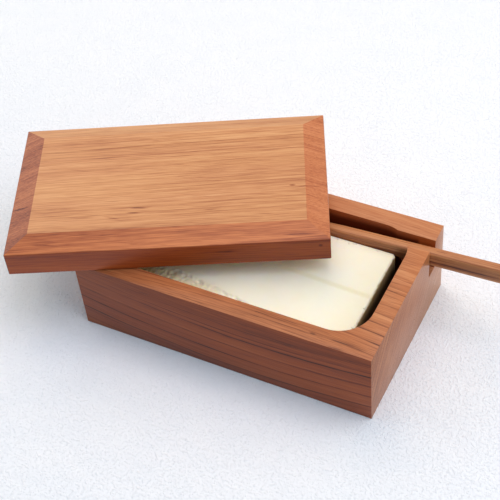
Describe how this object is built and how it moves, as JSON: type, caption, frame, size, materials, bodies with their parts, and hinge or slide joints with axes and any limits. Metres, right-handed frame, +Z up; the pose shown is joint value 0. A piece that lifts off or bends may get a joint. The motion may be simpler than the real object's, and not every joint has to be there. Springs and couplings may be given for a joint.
{
  "type": "lidded butter case with knife",
  "caption": "Rectangular wooden butter case hollowed from one block, with a loose chamfered lid, a wooden butter knife in a corner slot, and a block of butter.",
  "frame": {"origin": "centre of the box's flat underside, on the surface it stands on", "axes": "+X along the box's length towards the end with the knife's slot, +Y towards the side wall the knife lies along, +Z up"},
  "size_m": [0.2665, 0.1547, 0.0606],
  "materials": {
    "box_wood": "satin",
    "lid_wood": "satin",
    "knife_wood": "satin",
    "butter": "satin"
  },
  "bodies": {
    "box": {"box_body": "box_wood"},
    "lid_board": {"lid": "lid_wood"},
    "knife": {"butter_knife": "knife_wood"},
    "butter": {"butter_block": "butter"}
  },
  "joints": [
    {"name": "lid_swing", "type": "hinge", "parent": "box", "child": "lid_board", "pos_m": [-0.05177, -0.11178, 0.0437], "axis": [0, 0, 1], "range_deg": [-26.27, 60]},
    {"name": "knife_draw", "type": "slide", "parent": "box", "child": "knife", "axis": [0.9989, 0, 0.0464], "range_m": [0, 0.132]},
    {"name": "butter_lift", "type": "slide", "parent": "box", "child": "butter", "axis": [0, 0, 1], "range_m": [0, 0.008]}
  ]
}
